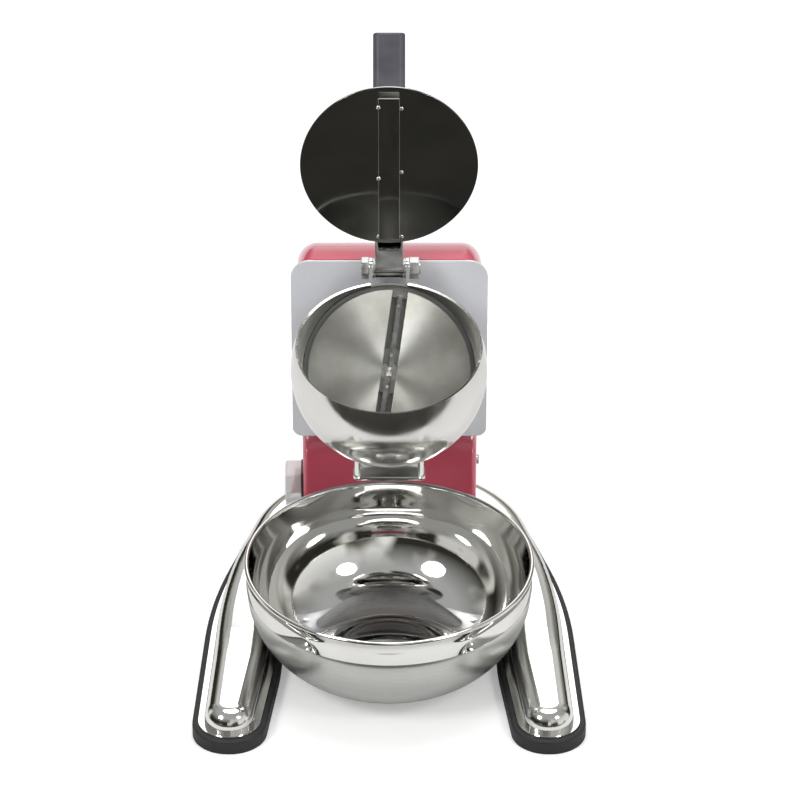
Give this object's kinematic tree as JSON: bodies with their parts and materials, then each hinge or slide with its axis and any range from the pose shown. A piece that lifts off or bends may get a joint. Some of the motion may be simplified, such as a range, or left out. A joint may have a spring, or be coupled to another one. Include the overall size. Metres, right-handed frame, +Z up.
{
  "type": "ice shaver",
  "caption": "Tabletop ice shaver: hand lever lid over a ball hopper, bladed disc on an inclined motor spindle, arched housing, splayed legs and a round bowl.",
  "frame": {"origin": "middle of the footprint, on the table", "axes": "+Z up, the front with the bowl and the mouth towards -Y, the switch on the -X side"},
  "size_m": [0.3212, 0.427, 0.4859],
  "materials": {
    "black_rubber": "matt",
    "stainless": "polished and satin",
    "zinc_hardware": "satin",
    "turned_steel": "ground",
    "crimson_enamel": "gloss",
    "silver_lacquer": "satin",
    "cast_aluminium": "as cast",
    "dark_iron": "varnished",
    "copper_wire": "enamelled",
    "grip_plastic": "matt",
    "black_plastic": "matt",
    "seal_rubber": "matt",
    "red_plastic": "gloss",
    "clear_plastic": "clear",
    "white_plastic": "gloss"
  },
  "bodies": {
    "stand": {"base_sole": "black_rubber", "base_shell": "stainless", "foot_screws": "zinc_hardware", "body_bolts": "zinc_hardware", "body_nuts": "zinc_hardware", "main_housing": "crimson_enamel", "front_plate": "silver_lacquer", "plate_nuts": "zinc_hardware", "mount_bolts": "zinc_hardware", "mount_nuts": "zinc_hardware", "hopper": "stainless", "hopper_screws": "zinc_hardware", "hopper_nuts": "zinc_hardware", "chute": "crimson_enamel", "hinge_ear_left": "stainless", "hinge_ear_right": "stainless", "hinge_bolt": "zinc_hardware", "hinge_nut": "zinc_hardware", "hinge_washers": "zinc_hardware", "shaft_seal": "seal_rubber", "nose_bearing": "turned_steel", "rear_bearing": "turned_steel", "spindle_housing": "cast_aluminium", "motor_front_cap": "cast_aluminium", "motor_rear_cap": "cast_aluminium", "motor_casing": "dark_iron", "stator_core": "dark_iron", "stator_windings": "copper_wire", "tie_bolts": "zinc_hardware", "switch_body": "black_plastic", "switch_cover": "clear_plastic", "run_capacitor": "white_plastic", "capacitor_clip": "zinc_hardware", "side_screw": "zinc_hardware", "side_nut": "zinc_hardware", "cable_gland": "black_plastic", "gland_nut": "black_plastic"},
    "lid": {"lever_bush": "turned_steel", "press_lever": "stainless", "press_plate": "stainless", "press_rib": "stainless", "lever_grip": "grip_plastic"},
    "spindle": {"blade_disc": "turned_steel", "blade_upper": "turned_steel", "blade_lower": "turned_steel", "blade_screws": "zinc_hardware", "hub_pin": "zinc_hardware", "drive_shaft": "turned_steel", "rotor": "dark_iron", "cooling_fan": "black_plastic"},
    "rocker": {"switch_rocker": "red_plastic"},
    "bowl": {"bowl": "stainless"}
  },
  "joints": [
    {"name": "lid_hinge", "type": "hinge", "parent": "stand", "child": "lid", "pos_m": [0, 0.0469, 0.3044], "axis": [1, 0, 0], "range_deg": [0, 120]},
    {"name": "blade_spin", "type": "hinge", "parent": "stand", "child": "spindle", "pos_m": [0, 0.00055, 0.23304], "axis": [0, 0.829, -0.5592], "continuous": true},
    {"name": "switch_rocker", "type": "hinge", "parent": "stand", "child": "rocker", "pos_m": [-0.0733, 0.097, 0.061], "axis": [0, 1, 0], "range_deg": [-18, 0]},
    {"name": "bowl_slide", "type": "slide", "parent": "stand", "child": "bowl", "axis": [0, -1, 0], "range_m": [0, 0.3]}
  ]
}
